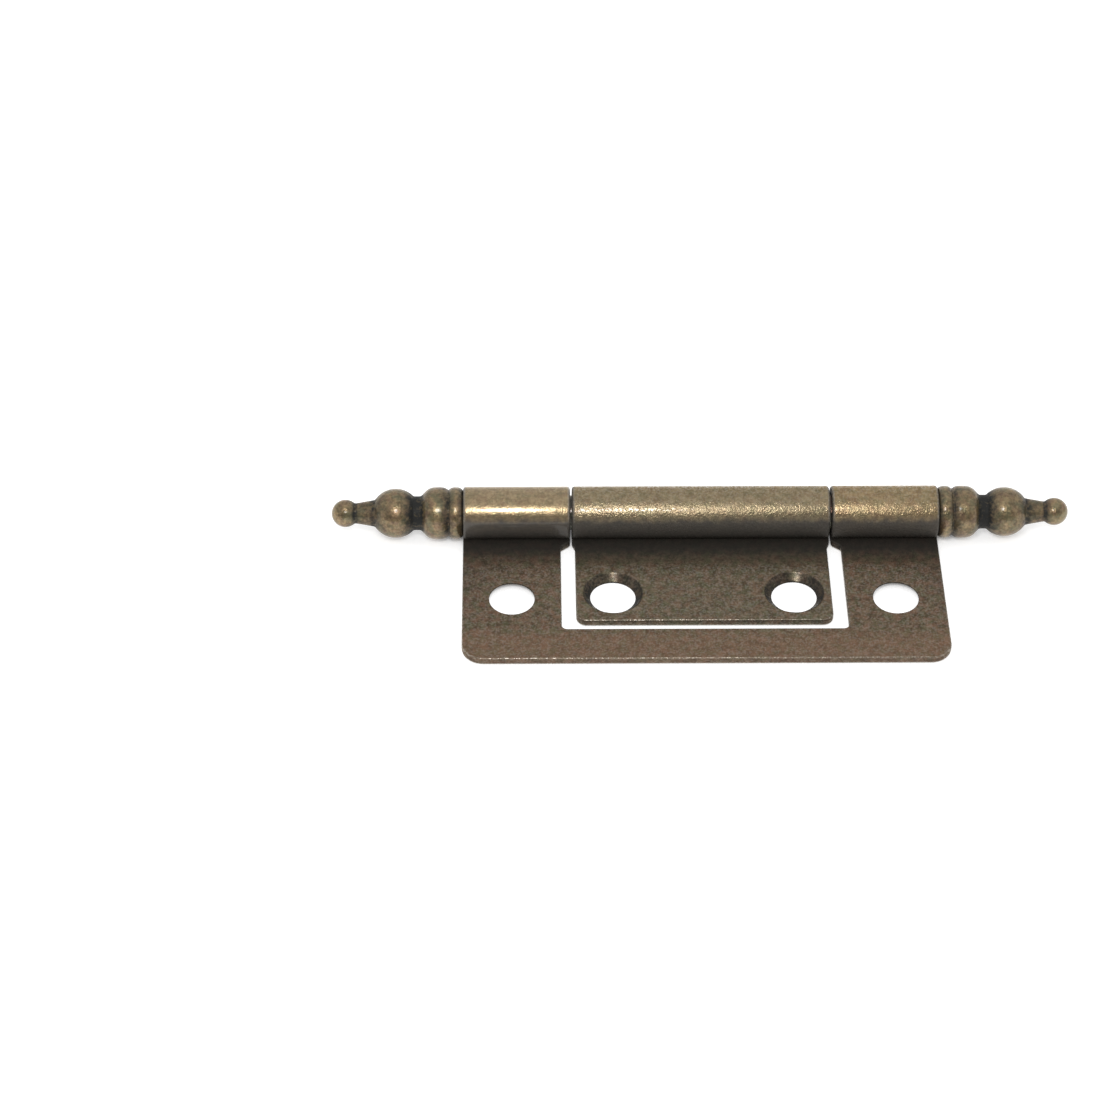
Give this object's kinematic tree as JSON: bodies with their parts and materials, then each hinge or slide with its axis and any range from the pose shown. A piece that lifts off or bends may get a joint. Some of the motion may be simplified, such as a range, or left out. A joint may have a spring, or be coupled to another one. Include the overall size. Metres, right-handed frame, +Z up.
{
  "type": "flush cabinet hinge",
  "caption": "Flush cabinet hinge: a small leaf nested in the window of a frame-shaped leaf, rolled knuckles round a through pin, turned finials at the ends, antique brass finish.",
  "frame": {"origin": "centre of the closed hinge's box in plan, on the plane of the leaves' underside", "axes": "+X along the barrel, +Y from the leaves towards the barrel, +Z up from the leaves' underside"},
  "size_m": [0.0778, 0.0228, 0.0056],
  "materials": {
    "leaf_brass": "antique brass, satin, darkened",
    "finial_brass": "antique brass, satin, dark in the grooves",
    "pin_steel": "antique brass plate, dark"
  },
  "bodies": {
    "frame_leaf": {"outer_leaf": "leaf_brass", "hinge_pin": "pin_steel", "left_finial": "finial_brass", "right_finial": "finial_brass"},
    "swing_leaf": {"inner_leaf": "leaf_brass"}
  },
  "joints": [
    {"name": "leaf_swing", "type": "hinge", "parent": "frame_leaf", "child": "swing_leaf", "pos_m": [0, 0.00866, 0.00278], "axis": [-1, 0, 0], "continuous": true}
  ]
}
